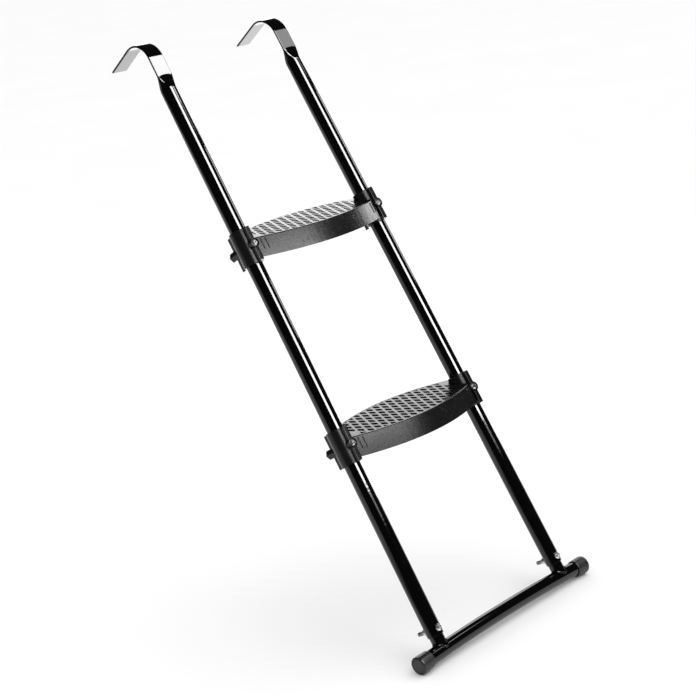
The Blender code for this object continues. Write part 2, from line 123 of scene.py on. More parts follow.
class LadderFoot(PropertyGroup):
    tube: length("Foot tube", "Outer diameter of the foot tube", 0.022)
    arch: length("Arch", "Rise of the foot tube's middle above its ends", 0.0045)
    bead: length("Weld bead", "Radius of the weld bead", 0.0019)
    cap: length("Cap", "Largest diameter of an end cap", 0.027)
    cap_lip: length("Cap lip", "Diameter of an end cap's open end", 0.0252)
    cap_length: length("Cap length", "Length of an end cap", 0.024)
    cap_end: length("Cap end", "Thickness of an end cap's closed end", 0.004)
    cap_round: length("Cap rounding", "Rounding of an end cap's closed end", 0.0024)


class LadderSteps(PropertyGroup):
    end_inset: length("End inset", "How far the tread stops short of a rail's axis", 0.006)
    end_depth: length("End depth", "Half the tread's depth at a rail", 0.0195)
    front_bow: length("Front bow", "How far the front edge bows out at the middle", 0.0235)
    rear_bow: length("Rear bow", "How far the rear edge bows out at the middle", 0.0255)
    above_bolt: length("Tread rise", "Height of the tread's top above its bolts", 0.0178)
    plate: length("Plate", "Thickness of the tread", 0.005)
    edge: length("Edge rounding", "Rounding of the tread's edge", 0.0012)
    skirt: length("Skirt", "Height of the skirt", 0.031)
    skirt_wall: length("Skirt wall", "Thickness of the skirt", 0.0026)
    pitch: length("Lattice pitch", "Distance across between pockets in one row", 0.0145)
    row: length("Lattice row", "Distance between rows of pockets", 0.0112)
    band: length("Lattice band", "Half the width of the bands between pockets", 0.0020)
    pocket: length("Pocket depth", "Depth of a pocket", 0.0024)
    draft: length("Pocket draft", "How far a pocket narrows from top to bottom", 0.0004)
    soft: length("Pocket edge", "Rounding of a pocket's rim", 0.00035)
    margin: length("Rim", "Plain rim between the pockets and the tread's edge", 0.0034)
    rib: length("Rib", "Thickness of a rib under the tread", 0.0022)
    rib_drop: length("Rib drop", "Depth of a rib under the tread", 0.010)
    skirt_rib: length("Skirt rib", "Width of an upright rib at the skirt's end", 0.0016)
    skirt_rib_proud: length("Skirt rib height", "How far an upright rib stands out of the skirt", 0.0007)
    skirt_rib_root: length("Skirt rib root", "How far an upright rib is sunk in the skirt", 0.0012)
    skirt_rib_first: length("First skirt rib", "How far the first upright rib is from a rail's axis", 0.0130)
    skirt_rib_gap: length("Skirt rib gap", "Distance between the two upright ribs", 0.0070)
    blade_short: length("Blade trim", "How far a sleeve's ribs stop short of its ends", 0.0004)
    barrel_wall: length("Sleeve wall", "Wall of the sleeve round a rail", 0.0027)
    blade: length("Blade", "Width of the sleeve's front and rear ribs", 0.008)
    front_blade: length("Front blade", "How far the front rib stands out of the sleeve", 0.0067)
    rear_blade: length("Rear blade", "How far the rear rib stands out of the sleeve", 0.0100)
    collar_wall: length("Collar wall", "Wall of the collar round a bolt's head", 0.0018)
    collar: length("Collar", "How far a collar stands out of the front rib", 0.0016)
    boss_wall: length("Boss wall", "Wall of the boss round a nut", 0.0015)
    boss: length("Boss", "How far the nut boss stands out of the rear rib", 0.0095)


class LadderFasteners(PropertyGroup):
    bolt: length("Bolt", "Diameter of a bolt's shank", 0.006)
    head: length("Head", "Diameter of a bolt's button head", 0.0108)
    head_height: length("Head height", "Height of a bolt's button head", 0.0033)
    socket: length("Socket", "Distance across the flats of a head's socket", 0.004)
    socket_depth: length("Socket depth", "Depth of a head's socket", 0.0018)
    nut: length("Nut", "Distance across the flats of a nut", 0.010)
    nut_height: length("Nut height", "Height of a nut", 0.005)
    thread: length("Thread", "Pitch of the thread", 0.001)
    thread_depth: length("Thread depth", "Depth of the thread", 0.0005)


class LadderFinishes(PropertyGroup):
    paint: tint("Paint", "Gloss black paint of the tubes", (0.0012, 0.0012, 0.0014))
    step: tint("Step plastic", "Black plastic of the steps", (0.0060, 0.0060, 0.0065))
    cap: tint("Cap plastic", "Black plastic of the end caps", (0.009, 0.009, 0.0095))
    zinc: tint("Zinc", "Bright zinc of the bolts", (0.80, 0.80, 0.79))
    floor: tint("Floor", "Pale floor", (0.93, 0.93, 0.93))


class LadderStage(PropertyGroup):
    azimuth: angle("Azimuth", "Turn of the view from the rear axis", 44.375)
    elevation: angle("Elevation", "How far the view looks down", 15.540)
    roll: angle("Roll", "Turn of the camera about its view", -7.512)
    distance: length("Distance", "Distance from the camera to its aim", 2.4819)
    aim: FloatVectorProperty(
        name="Aim", description="Point in the middle of the picture", default=(-0.0241, 0.2298, 0.4048), size=3,
        subtype="TRANSLATION", unit="LENGTH",
    )
    lens: FloatProperty(name="Lens", description="Focal length in millimetres", default=85.88, unit="CAMERA")
    floor: length("Floor", "Half the width of the floor", 60.0)


# ---- Places read from the frame ----


def stand():
    """From the ladder's own frame, upright with its foot at zero, to its place leaning on the ground."""
    layout = bpy.context.scene.ladder_layout
    lift = bpy.context.scene.ladder_foot.cap / 2
    return Matrix.Translation((0.0, 0.0, lift)) @ Matrix.Rotation(-layout.lean, 4, "X")


def box_in(node, to_world):
    """Lowest and highest corners of a solid, measured in the frame that to_world places."""
    back = to_world.inverted()
    points = [back @ vertex.co for vertex in frame["nodes"][node].data.vertices]
    low = Vector([min(point[axis] for point in points) for axis in range(3)])
    high = Vector([max(point[axis] for point in points) for axis in range(3)])
    return low, high


def middle_in(node, to_world):
    low, high = box_in(node, to_world)
    return (low + high) / 2


def rail_frame(side):
    """Frame of one rail: Z runs up its axis from the foot, and Y points to the rear."""
    low = middle_in(f"foot_bolt_{side}", stand())
    high = middle_in(f"upper_step_bolt_{side}", stand())
    low.y = 0.0
    high.y = 0.0
    up = (high - low).normalized()
    rear = Vector((0.0, 1.0, 0.0))
    across = rear.cross(up)
    origin = low - up * (low.z / up.z)
    turn = Matrix((across, rear, up)).transposed().to_4x4()
    return stand() @ Matrix.Translation(origin) @ turn


def bolt_rise(bolt, side):
    return middle_in(f"{bolt}_bolt_{side}", rail_frame(side)).z


def bolt_frame(bolt, side):
    """Frame of one bolt: Z runs from its head at the front to its end at the rear, zero on the rail's axis."""
    return rail_frame(side) @ Matrix.Translation((0.0, 0.0, bolt_rise(bolt, side))) @ FORE_AFT


# ---- Making pieces ----


def edges_of(verts):
    """The edges that run between these vertices."""
    inside = set(verts)
    around = dict.fromkeys(edge for vert in verts for edge in vert.link_edges)
    return [edge for edge in around if inside.issuperset(edge.verts)]


def ring(mesh, radius, height, steps, turn=0.0):
    """A ring of edges about Z."""
    place = Matrix.Translation((0.0, 0.0, height)) @ Matrix.Rotation(turn, 4, "Z")
    made = bmesh.ops.create_circle(mesh, cap_ends=False, radius=radius, segments=steps, matrix=place)
    return edges_of(made["verts"])


def drawn(mesh, edges):
    """Extrudes a ring of edges on the spot and returns the new ring's vertices and edges."""
    made = bmesh.ops.extrude_edge_only(mesh, edges=edges)["geom"]
    verts = [item for item in made if isinstance(item, bmesh.types.BMVert)]
    inside = set(verts)
    edges = [item for item in made if isinstance(item, bmesh.types.BMEdge) and inside.issuperset(item.verts)]
    return verts, edges


def turned_on(mesh, edges, profile):
    """Carries a ring about Z on through (radius, height) points."""
    for radius, height in profile:
        verts, edges = drawn(mesh, edges)
        for vertex in verts:
            flat = Vector((vertex.co.x, vertex.co.y)).normalized() * radius
            vertex.co = (flat.x, flat.y, height)
    return edges


def close_ring(mesh, edges):
    bmesh.ops.edgeloop_fill(mesh, edges=edges)


def turned(profile, steps, closed=False):
    """A shape spun about Z from (radius, height) points."""
    mesh = bmesh.new()
    verts = [mesh.verts.new((radius, 0.0, height)) for radius, height in profile]
    after = verts[1:] + verts[:1] if closed else verts[1:]
    edges = [mesh.edges.new(pair) for pair in zip(verts, after)]
    bmesh.ops.spin(
        mesh, geom=verts + edges, cent=(0, 0, 0), axis=(0, 0, 1), angle=2 * math.pi, steps=steps, use_merge=True
    )
    bmesh.ops.remove_doubles(mesh, verts=mesh.verts, dist=1e-6)
    return mesh


def soften(mesh, edges, width, segments=2):
    bmesh.ops.bevel(
        mesh, geom=edges, affect="EDGES", offset=width, offset_type="OFFSET", segments=segments, profile=0.5,
        material=-1, clamp_overlap=True,
    )


def block(low, high, width):
    """A box between two corners with softened edges."""
    mesh = bmesh.new()
    size = Vector(high) - Vector(low)
    place = Matrix.Translation((Vector(low) + Vector(high)) / 2) @ Matrix.Diagonal((*size, 1.0))
    bmesh.ops.create_cube(mesh, size=1.0, matrix=place)
    soften(mesh, mesh.edges[:], width)
    return mesh


def put_in(mesh, other, place=IDENTITY):
    """Adds another shape to a mesh, moved to its place."""
    other.transform(place)
    data = bpy.data.meshes.new("part")
    other.to_mesh(data)
    other.free()
    mesh.from_mesh(data)
    bpy.data.meshes.remove(data)


def show(name, mesh, place, material, nodes, sharp=32.0):
    """Turns a shape into a finished piece that stands for its plain solids."""
    mesh.transform(place)
    bmesh.ops.recalc_face_normals(mesh, faces=mesh.faces)
    data = bpy.data.meshes.new(name)
    mesh.to_mesh(data)
    mesh.free()
    data.materials.append(material)
    data.shade_smooth()
    data.set_sharp_from_angle(angle=math.radians(sharp))
    piece = bpy.data.objects.new(name, data)
    bpy.context.scene.collection.objects.link(piece)
    even = piece.modifiers.new("even_normals", "WEIGHTED_NORMAL")
    even.keep_sharp = True
    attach(piece, "root")
    if nodes:
        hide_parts(*nodes)
    return piece


# ---- Finishes ----


class Finish:
    """A material under construction, with its textures on Object coordinates."""

    def __init__(self, name, colour, metallic, roughness):
        self.material = bpy.data.materials.new(name)
        self.material.use_nodes = True
        self.tree = self.material.node_tree
        self.shader = self.tree.nodes["Principled BSDF"]
        self.shader.inputs["Base Color"].default_value = (*colour, 1.0)
        self.shader.inputs["Metallic"].default_value = metallic
        self.shader.inputs["Roughness"].default_value = roughness
        self.coordinates = self.tree.nodes.new("ShaderNodeTexCoord").outputs["Object"]

    def link(self, source, target):
        self.tree.links.new(source, target)

    def noise(self, scale, detail=3.0, stretch=(1.0, 1.0, 1.0)):
        mapping = self.tree.nodes.new("ShaderNodeMapping")
        mapping.inputs["Scale"].default_value = stretch
        self.link(self.coordinates, mapping.inputs["Vector"])
        texture = self.tree.nodes.new("ShaderNodeTexNoise")
        texture.inputs["Scale"].default_value = scale
        texture.inputs["Detail"].default_value = detail
        self.link(mapping.outputs["Vector"], texture.inputs["Vector"])
        return texture.outputs["Fac"]

    def spread(self, source, low, high, start=0.3, end=0.7):
        """Maps a texture's usual range onto low to high."""
        ramp = self.tree.nodes.new("ShaderNodeMapRange")
        ramp.inputs["From Min"].default_value = start
        ramp.inputs["From Max"].default_value = end
        ramp.inputs["To Min"].default_value = low
        ramp.inputs["To Max"].default_value = high
        self.link(source, ramp.inputs["Value"])
        return ramp.outputs["Result"]

    def joined(self, first, second, operation="ADD"):
        step = self.tree.nodes.new("ShaderNodeMath")
        step.operation = operation
        self.link(first, step.inputs[0])
        self.link(second, step.inputs[1])
        return step.outputs["Value"]

    def blended(self, share, first, second):
        mix = self.tree.nodes.new("ShaderNodeMix")
        mix.data_type = "RGBA"
        mix.inputs["A"].default_value = (*first, 1.0)
        mix.inputs["B"].default_value = (*second, 1.0)
        self.link(share, mix.inputs["Factor"])
        return mix.outputs["Result"]

    def bump(self, source, depth, before=None):
        bump = self.tree.nodes.new("ShaderNodeBump")
        bump.inputs["Strength"].default_value = 1.0
        bump.inputs["Distance"].default_value = depth
        self.link(source, bump.inputs["Height"])
        if before:
            self.link(before, bump.inputs["Normal"])
        return bump.outputs["Normal"]

    def finish(self, colour, roughness, normal):
        self.link(colour, self.shader.inputs["Base Color"])
        self.link(roughness, self.shader.inputs["Roughness"])
        self.link(normal, self.shader.inputs["Normal"])
        return self.material


def lighter(colour, times):
    return tuple(min(1.0, part * times) for part in colour)


def kept(name, make):
    """The material of this name, made the first time that it is asked for."""
    return bpy.data.materials.get(name) or make(name)


def make_paint(name):
    """Gloss black powder coat: faint orange peel, drifting gloss, rubbed patches and a little dust."""
    colour = bpy.context.scene.ladder_finishes.paint
    finish = Finish(name, colour, 0.0, 0.13)
    rubbed = finish.spread(finish.noise(38.0, 6.0), 0.0, 0.06, 0.54, 0.74)
    drift = finish.spread(finish.noise(7.0), 0.035, 0.065)
    dust = finish.spread(finish.noise(420.0, 2.0), 0.0, 0.6, 0.66, 0.80)
    peel = finish.bump(finish.noise(240.0, 1.0), 0.00002)
    grit = finish.bump(finish.noise(1900.0, 1.0), 0.000004, peel)
    return finish.finish(
        finish.blended(dust, colour, lighter(colour, 3.0)), finish.joined(drift, rubbed), grit
    )


def make_step_plastic(name):
    """Satin moulded plastic: fine grain, slow colour drift and treads rubbed smoother."""
    colour = bpy.context.scene.ladder_finishes.step
    finish = Finish(name, colour, 0.0, 0.42)
    finish.shader.inputs["Specular IOR Level"].default_value = 0.32
    cloud = finish.spread(finish.noise(26.0, 5.0), 0.0, 1.0)
    scuff = finish.spread(finish.noise(160.0, 6.0, (1.0, 0.25, 1.0)), 0.0, 0.10, 0.52, 0.74)
    sheen = finish.spread(finish.noise(14.0), 0.19, 0.25)
    grain = finish.bump(finish.noise(1300.0, 2.0), 0.00004)
    flow = finish.bump(finish.noise(60.0, 2.0), 0.00008, grain)
    return finish.finish(
        finish.blended(cloud, lighter(colour, 0.85), lighter(colour, 1.25)), finish.joined(sheen, scuff), flow
    )


def make_cap_plastic(name):
    """Softer moulded plastic of the end caps, scuffed from standing on."""
    colour = bpy.context.scene.ladder_finishes.cap
    finish = Finish(name, colour, 0.0, 0.45)
    scuff = finish.spread(finish.noise(210.0, 7.0), 0.0, 0.8, 0.56, 0.74)
    sheen = finish.spread(finish.noise(60.0), 0.30, 0.40)
    grain = finish.bump(finish.noise(1500.0, 2.0), 0.00004)
    return finish.finish(finish.blended(scuff, colour, lighter(colour, 1.9)), sheen, grain)


def make_zinc(name):
    """Bright zinc plate with soft smears and fine grain."""
    colour = bpy.context.scene.ladder_finishes.zinc
    finish = Finish(name, colour, 1.0, 0.25)
    smear = finish.spread(finish.noise(350.0, 4.0), 0.0, 1.0)
    sheen = finish.spread(finish.noise(500.0, 3.0), 0.16, 0.34)
    grain = finish.bump(finish.noise(2600.0, 2.0), 0.000006)
    return finish.finish(finish.blended(smear, lighter(colour, 0.82), colour), sheen, grain)


def make_floor(name):
    """Pale matt floor with the faintest cloud in it. For gloss rays only, its colour is painted near black out to
    the front left and far off: a painted dark reflection for the gloss tubes to show.
    """
    colour = bpy.context.scene.ladder_finishes.floor
    finish = Finish(name, colour, 0.0, 0.9)
    cloud = finish.spread(finish.noise(1.5), 0.0, 1.0)
    grain = finish.bump(finish.noise(90.0), 0.00003)
    axes = finish.tree.nodes.new("ShaderNodeSeparateXYZ")
    finish.link(finish.coordinates, axes.inputs["Vector"])
    distance = finish.tree.nodes.new("ShaderNodeVectorMath")
    distance.operation = "LENGTH"
    finish.link(finish.coordinates, distance.inputs[0])
    left = finish.spread(axes.outputs["X"], 1.0, 0.0, -0.40, 0.10)
    front = finish.spread(axes.outputs["Y"], 1.0, 0.0, 0.15, 0.40)
    far = finish.spread(distance.outputs["Value"], 0.0, 1.0, 0.30, 0.55)
    edge = finish.spread(distance.outputs["Value"], 0.0, 1.0, 3.0, 9.0)
    gloss = finish.tree.nodes.new("ShaderNodeLightPath").outputs["Is Glossy Ray"]
    # Mask of the painted dark reflection: front left of the foot beyond about half a metre, and everywhere past a
    # few metres, for gloss rays only.
    corner = finish.joined(finish.joined(left, front, "MULTIPLY"), far, "MULTIPLY")
    corner = finish.joined(finish.joined(corner, edge, "MAXIMUM"), gloss, "MULTIPLY")
    pale = finish.blended(cloud, lighter(colour, 0.985), colour)
    # Floor colour painted near black under the mask: painted shade that only reflections show.
    shaded = finish.blended(corner, colour, (0.01, 0.01, 0.01))
    finish.link(pale, shaded.node.inputs["A"])
    return finish.finish(shaded, finish.spread(finish.noise(4.0), 0.85, 0.95), grain)


# ---- Rails ----


def strap_point(angle, rails):
    """Where a point of the round tube goes when the tube is pressed into a strap with round edges."""
    half = rails.strap / 2
    straight = rails.strap_width / 2 - half
    quarter = math.pi / 4
    near = round(angle / math.pi) * math.pi
    if abs(angle - near) <= quarter + 1e-6:
        lean = near + 2 * (angle - near)
        side = math.copysign(1.0, math.cos(near))
        return Vector((side * straight + half * math.cos(lean), half * math.sin(lean)))
    crown = math.floor(angle / math.pi) * math.pi + math.pi / 2
    side = math.sin(crown)
    return Vector((-side * straight * (angle - crown) / quarter, side * half))


def ease(share):
    return share * share * (3 - 2 * share)


def strap_stations(rails, low, crest):
    """(forward, rise, turn, flatness) of each ring of an upper rail, from its foot to the hook's tip."""
    start = crest - rails.strap / 2 - rails.bend
    taper = start - rails.straight - rails.taper
    stations = [(0.0, taper * share + low * (1 - share), 0.0, 0.0) for share in (0.25, 0.5, 0.75)]
    for index in range(17):
        flat = ease(index / 16)
        stations.append((-rails.forward * flat, taper + rails.taper * index / 16, 0.0, flat))
    for index in range(33):
        turn = rails.turn * index / 32
        forward = rails.bend * (1 - math.cos(turn)) - rails.forward
        stations.append((forward, start + rails.bend * math.sin(turn), turn, 1.0))
    return stations


def add_tip(mesh, edges, place, reach, rails):
    """Runs the strap straight on to its tip and closes it with a softened end."""
    soft = rails.strap / 6
    middle = place.to_translation()
    ahead = place.to_3x3() @ Vector((0.0, 0.0, 1.0))
    for run, shrink in ((reach / 2, 1.0), (reach - soft, 1.0), (reach - soft / 4, 0.93), (reach, 0.80)):
        verts, edges = drawn(mesh, edges)
        behind = sum((vertex.co for vertex in verts), Vector()) / len(verts)
        for vertex in verts:
            vertex.co = middle + ahead * run + (vertex.co - behind)
            if shrink < 1.0:
                centre = middle + ahead * run
                offset = vertex.co - centre
                thin = place.to_3x3() @ Vector((0.0, 1.0, 0.0))
                vertex.co -= thin * offset.dot(thin) * (1 - shrink)
    close_ring(mesh, edges)


def upper_rail_mesh(side, rails, steps):
    low, high = box_in(f"upper_rail_{side}", rail_frame(side))
    radius = rails.tube / 2
    mesh = bmesh.new()
    angle_of = mesh.verts.layers.float.new("angle")
    edges = ring(mesh, radius, low.z, steps)
    for vertex in mesh.verts:
        vertex[angle_of] = math.atan2(vertex.co.y, vertex.co.x) % (2 * math.pi)
    foot = edges
    place = IDENTITY
    for forward, rise, turn, flat in strap_stations(rails, low.z, high.z):
        verts, edges = drawn(mesh, edges)
        place = Matrix.Translation((0.0, forward, rise)) @ Matrix.Rotation(-turn, 4, "X")
        for vertex in verts:
            angle = vertex[angle_of]
            full = Vector((math.cos(angle), math.sin(angle))) * radius
            point = full.lerp(strap_point(angle, rails), flat)
            vertex.co = place @ Vector((point.x, point.y, 0.0))
    add_tip(mesh, edges, place, tip_reach(place, high.y, rails), rails)
    bore = radius - rails.wall
    inner = turned_on(mesh, foot, [(bore, low.z), (bore, low.z + rails.tube)])
    close_ring(mesh, inner)
    return mesh


def tip_reach(place, rear, rails):
    """How far the strap runs past its bend, so that its tip reaches the solid's rear."""
    ahead = place.to_3x3() @ Vector((0.0, 0.0, 1.0))
    out = place.to_3x3() @ Vector((0.0, 1.0, 0.0))
    return (rear - place.to_translation().y - abs(out.y) * rails.strap / 2) / ahead.y


class OBJECT_OT_ladder_upper_rails(Operator):
    """Make the upper rails, each a tube that flattens into a strap and bends into a hook"""

    bl_idname = "ladder.upper_rails"
    bl_label = "Upper Rails"

    def execute(self, context):
        rails = context.scene.ladder_rails
        steps = context.scene.ladder_layout.round_steps
        paint = kept("gloss_black_paint", make_paint)
        for side in SIDES:
            mesh = upper_rail_mesh(side, rails, steps)
            show(f"upper_rail_tube_{side}", mesh, rail_frame(side), paint, [f"upper_rail_{side}"])
        return {"FINISHED"}


class OBJECT_OT_ladder_lower_rails(Operator):
    """Make the lower rails, each a tube with a necked top that plugs into its upper rail"""

    bl_idname = "ladder.lower_rails"
    bl_label = "Lower Rails"

    def execute(self, context):
        rails = context.scene.ladder_rails
        touch = context.scene.ladder_layout.touch
        steps = context.scene.ladder_layout.round_steps
        paint = kept("gloss_black_paint", make_paint)
        radius = rails.tube / 2
        bore = radius - rails.wall
        neck = bore - touch
        lip = rails.lip
        for side in SIDES:
            low, high = box_in(f"lower_rail_{side}", rail_frame(side))
            shoulder = high.z - rails.swage - touch
            profile = [
                (bore + lip, low.z),
                (radius - lip, low.z),
                (radius - lip * 0.3, low.z + lip * 0.3),
                (radius, low.z + lip),
                (radius, shoulder - lip),
                (radius - lip, shoulder),
                (neck, shoulder),
                (neck, high.z),
                (neck - rails.wall, high.z),
                (neck - rails.wall, shoulder - rails.wall),
                (bore, shoulder - 2 * rails.wall),
                (bore, low.z + lip),
            ]
            mesh = turned(profile, steps, closed=True)
            show(f"lower_rail_tube_{side}", mesh, rail_frame(side), paint, [f"lower_rail_{side}"])
        return {"FINISHED"}


# ---- Foot ----


def foot_length():
    """Length of the foot tube, between its two end caps' closed ends."""
    foot = bpy.context.scene.ladder_foot
    low, high = box_in("foot_tube", stand())
    reach = high.x - low.x
    return reach - foot.tube * math.sin(math.atan(4 * foot.arch / reach))


def arch_frame(x, foot):
    """Frame on the foot tube's centre line, with Z along the tube to the right."""
    half = foot_length() / 2
    slope = -2 * foot.arch * x / half**2
    height = foot.arch * (1 - (x / half) ** 2)
    turn = Matrix.Rotation(math.radians(90) - math.atan(slope), 4, "Y")
    return Matrix.Translation((x, 0.0, height)) @ turn


class OBJECT_OT_ladder_foot_tube(Operator):
    """Make the arched foot tube that the ladder stands on"""

    bl_idname = "ladder.foot_tube"
    bl_label = "Foot Tube"

    def execute(self, context):
        foot = context.scene.ladder_foot
        half = foot_length() / 2
        mesh = bmesh.new()
        place = arch_frame(-half, foot)
        first = ring(mesh, foot.tube / 2, 0.0, context.scene.ladder_layout.round_steps)
        bmesh.ops.transform(mesh, matrix=place, verts=mesh.verts)
        edges = first
        count = 24
        for index in range(1, count + 1):
            verts, edges = drawn(mesh, edges)
            after = arch_frame(half * (2 * index / count - 1), foot)
            bmesh.ops.transform(mesh, matrix=after @ place.inverted(), verts=verts)
            place = after
        close_ring(mesh, first)
        close_ring(mesh, edges)
        paint = kept("gloss_black_paint", make_paint)
        show("foot_tube_arched", mesh, stand(), paint, ["foot_tube"])
        return {"FINISHED"}


def weld_bead(radius, foot, centre, count=72):
    """A lumpy bead along the line where a round spigot meets the foot tube."""
    mesh = bmesh.new()
    spoke = mesh.verts.layers.float_vector.new("spoke")
    edges = ring(mesh, foot.bead, 0.0, 10)
    verts = mesh.verts[:]
    for vertex in verts:
        vertex[spoke] = vertex.co
    for index in range(count + 1):
        if index:
            verts, edges = drawn(mesh, edges)
        angle = 2 * math.pi * index / count
        out = Vector((math.cos(angle), math.sin(angle), 0.0))
        rise = centre + math.sqrt((foot.tube / 2) ** 2 - (radius * out.y) ** 2)
        lump = 1.0 + 0.14 * math.sin(9 * angle) + 0.08 * math.sin(4 * angle + 1.0)
        for vertex in verts:
            reach = vertex[spoke] * lump
            vertex.co = out * (radius + reach.x) + Vector((0.0, 0.0, rise + reach.y))
    bmesh.ops.remove_doubles(mesh, verts=mesh.verts, dist=1e-5)
    return mesh


class OBJECT_OT_ladder_spigots(Operator):
    """Make the foot spigots with the weld beads that hold them to the foot tube"""

    bl_idname = "ladder.spigots"
    bl_label = "Foot Spigots"

    def execute(self, context):
        rails = context.scene.ladder_rails
        foot = context.scene.ladder_foot
        touch = context.scene.ladder_layout.touch
        paint = kept("gloss_black_paint", make_paint)
        radius = rails.tube / 2 - rails.wall - touch
        for side in SIDES:
            top = box_in(f"foot_spigot_{side}", rail_frame(side))[1].z
            offset = abs(rail_frame(side).to_translation().x)
            centre = foot.arch * (1 - (offset / (foot_length() / 2)) ** 2)
            profile = [(0.0, centre), (radius, centre), (radius, top), (0.0, top)]
            mesh = turned(profile, 48)
            put_in(mesh, weld_bead(radius, foot, centre))
            nodes = [f"foot_spigot_{side}"]
            show(f"foot_spigot_welded_{side}", mesh, rail_frame(side), paint, nodes, 40)
        return {"FINISHED"}


class OBJECT_OT_ladder_end_caps(Operator):
    """Make the flared end caps of the foot tube"""

    bl_idname = "ladder.end_caps"
    bl_label = "End Caps"

    def execute(self, context):
        foot = context.scene.ladder_foot
        touch = context.scene.ladder_layout.touch
        plastic = kept("satin_cap_plastic", make_cap_plastic)
        bore = foot.tube / 2 + touch
        end = foot.cap_end + touch
        lip = end - foot.cap_length
        radius = foot.cap / 2
        mouth = foot.cap_lip / 2
        soft = foot.cap_round
        corner = [
            (radius - soft * (1 - math.sin(a)), end - soft * (1 - math.cos(a)))
            for a in [math.pi / 2 * (1 - step / 6) for step in range(7)]
        ]
        profile = [
            (0.0, touch),
            (bore, touch),
            (bore, lip + 0.004),
            (mouth - 0.0008, lip + 0.0004),
            (mouth - 0.0003, lip),
            (mouth, lip + 0.0005),
            (radius - 0.0002, end - foot.cap_length * 0.42),
            *corner,
            (radius - soft - 0.0006, end - 0.0001),
            (radius - soft - 0.0010, end - 0.0005),
            (radius - soft - 0.0014, end - 0.0001),
            (0.0, end),
        ]
        for side in SIDES:
            sign = -1.0 if side == "left" else 1.0
            place = arch_frame(sign * foot_length() / 2, foot)
            if sign < 0:
                place = place @ Matrix.Rotation(math.pi, 4, "Y")
            mesh = turned(profile, context.scene.ladder_layout.round_steps)
            show(f"end_cap_flared_{side}", mesh, stand() @ place, plastic, [f"end_cap_{side}"], 28)
        return {"FINISHED"}


# ---- Steps ----


class Tread:
    """The tread's outline, seen along the rails: two shallow bows that meet the sleeves at both ends."""

    def __init__(self, name, steps):
        self.steps = steps
        frames = [stand().inverted() @ bolt_frame(f"{name}_step", side) for side in SIDES]
        self.rise = frames[0].to_translation().z
        self.axis_x = abs(frames[0].to_translation().x)
        self.half = self.axis_x - steps.end_inset

    def depth(self, x, rear):
        bow = self.steps.rear_bow if rear else self.steps.front_bow
        return self.steps.end_depth + bow * (1 - (x / self.half) ** 2)

    def corners(self, inset, trim, count=24):
        """The outline as corners that run anticlockwise."""
        reach = self.half - trim
        shares = [2 * index / count - 1 for index in range(count + 1)]
        front = [Vector((reach * s, inset - self.depth(reach * s, False), 0.0)) for s in shares]
        rear = [Vector((-reach * s, self.depth(reach * s, True) - inset, 0.0)) for s in shares]
        return front + rear

    def place(self):
        """Lays a shape drawn flat onto the level tread, its sides still parallel to the rails."""
        shear = Matrix.Identity(4)
        shear[2][1] = math.tan(bpy.context.scene.ladder_layout.lean)
        top = self.rise + self.steps.above_bolt
        return stand() @ Matrix.Translation((0.0, 0.0, top)) @ shear


def lattice(tread, inset, trim):
    """The tread's top as a net of rhombic cells, cut to the outline."""
    steps = tread.steps
    mesh = bmesh.new()
    count = 2 * math.ceil(tread.half / steps.pitch + steps.end_depth / steps.row)
    bmesh.ops.create_grid(mesh, x_segments=count, y_segments=count, size=count / 2)
    stretch = Matrix.Diagonal((steps.pitch / math.sqrt(2), steps.row * math.sqrt(2), 1.0, 1.0))
    bmesh.ops.transform(mesh, matrix=stretch @ Matrix.Rotation(math.pi / 4, 4, "Z"), verts=mesh.verts)
    corners = tread.corners(inset, trim)
    for start, end in zip(corners, corners[1:] + corners[:1]):
        along = end - start
        if along.length < 1e-6:
            continue
        outward = Vector((along.y, -along.x, 0.0)).normalized()
        geometry = mesh.verts[:] + mesh.edges[:] + mesh.faces[:]
        bmesh.ops.bisect_plane(
            mesh, geom=geometry, dist=1e-7, plane_co=start, plane_no=outward, clear_outer=True
        )
    bmesh.ops.remove_doubles(mesh, verts=mesh.verts, dist=1e-5)
    return mesh


def sink_pockets(mesh, steps):
    """Insets each cell by the band, sinks it and softens its rim."""
    whole = steps.pitch * steps.row
    pockets = []
    for face in mesh.faces:
        around = sum(edge.calc_length() for edge in face.edges)
        fits = 2 * face.calc_area() / around > steps.band * 1.35
        if fits and face.calc_area() > 0.3 * whole:
            pockets.append(face)
    bmesh.ops.inset_individual(mesh, faces=pockets, thickness=steps.band, use_even_offset=True)
    bmesh.ops.inset_individual(
        mesh, faces=pockets, thickness=steps.draft, depth=-steps.pocket, use_even_offset=True
    )
    rims = [
        edge
        for edge in mesh.edges
        if len(edge.link_faces) == 2
        and all(abs(vertex.co.z) < 1e-6 for vertex in edge.verts)
        and min(abs(face.normal.z) for face in edge.link_faces) < 0.6
    ]
    soften(mesh, rims, steps.soft)


